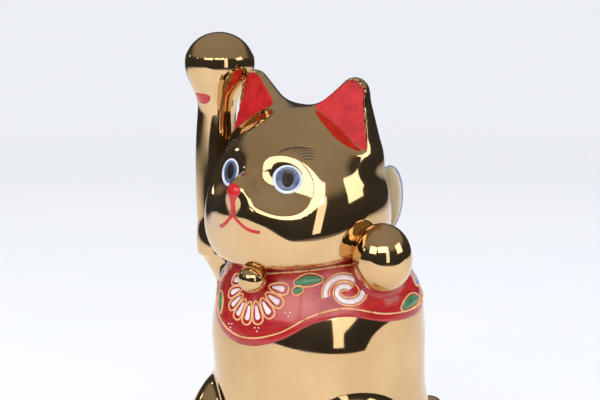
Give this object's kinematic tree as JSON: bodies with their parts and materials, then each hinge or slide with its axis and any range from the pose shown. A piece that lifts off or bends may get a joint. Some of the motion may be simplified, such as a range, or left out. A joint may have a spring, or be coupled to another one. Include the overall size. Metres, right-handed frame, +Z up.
{
  "type": "beckoning cat figurine",
  "caption": "Seated porcelain cat figurine with a raised beckoning paw, gold lustre glaze, a red enamelled bib, a bell and a bow at the neck.",
  "frame": {"origin": "on the flat foot, on the cat's middle plane", "axes": "+Z up from the foot, -Y the way the cat faces, +X towards the cat's own left side"},
  "size_m": [0.1467, 0.1528, 0.2564],
  "materials": {
    "gold_lustre": "mirror-bright gold lustre over glaze",
    "red_enamel": "glossy overglaze enamel",
    "outline_enamel": "glossy piped enamel",
    "white_enamel": "glossy raised enamel",
    "green_enamel": "glossy raised enamel",
    "blue_enamel": "glossy raised enamel",
    "iris_enamel": "glossy overglaze enamel",
    "black_enamel": "glossy overglaze enamel",
    "cream_enamel": "glossy overglaze enamel"
  },
  "bodies": {
    "root": {"bell": "gold_lustre", "bib_enamel": "red_enamel", "bib_lower_line": "outline_enamel", "bib_upper_line": "outline_enamel", "blossom_blue_left": "blue_enamel", "blossom_blue_right": "blue_enamel", "body_casting": "gold_lustre", "bow_knot": "cream_enamel", "bow_loop_left": "cream_enamel", "bow_loop_right": "cream_enamel", "bow_tail_left": "cream_enamel", "bow_tail_right": "cream_enamel", "ear_enamel_left": "red_enamel", "ear_enamel_right": "red_enamel", "eye_iris_left": "iris_enamel", "eye_iris_right": "iris_enamel", "eye_pupil_left": "black_enamel", "eye_pupil_right": "black_enamel", "eye_ring_left": "white_enamel", "eye_ring_right": "white_enamel", "head_casting": "gold_lustre", "leaf_bud": "green_enamel", "leaf_by_bell": "green_enamel", "leaf_front_right": "green_enamel", "leaf_side_left": "green_enamel", "leaf_side_right": "green_enamel", "left_arm_casting": "gold_lustre", "mouth_enamel": "red_enamel", "nose_enamel": "red_enamel", "petal_outline_1": "outline_enamel", "petal_outline_2": "outline_enamel", "petal_outline_3": "outline_enamel", "petal_outline_4": "outline_enamel", "petal_outline_5": "outline_enamel", "petal_outline_6": "outline_enamel", "petal_outline_7": "outline_enamel", "petal_outline_8": "outline_enamel", "petal_outline_9": "outline_enamel", "petal_white_1": "white_enamel", "petal_white_2": "white_enamel", "petal_white_3": "white_enamel", "petal_white_4": "white_enamel", "petal_white_5": "white_enamel", "petal_white_6": "white_enamel", "petal_white_7": "white_enamel", "petal_white_8": "white_enamel", "petal_white_9": "white_enamel", "raised_arm_casting": "gold_lustre", "swirl_white_left": "white_enamel", "swirl_white_right": "white_enamel", "tail_casting": "gold_lustre", "wrist_mark": "red_enamel"}
  },
  "joints": []
}
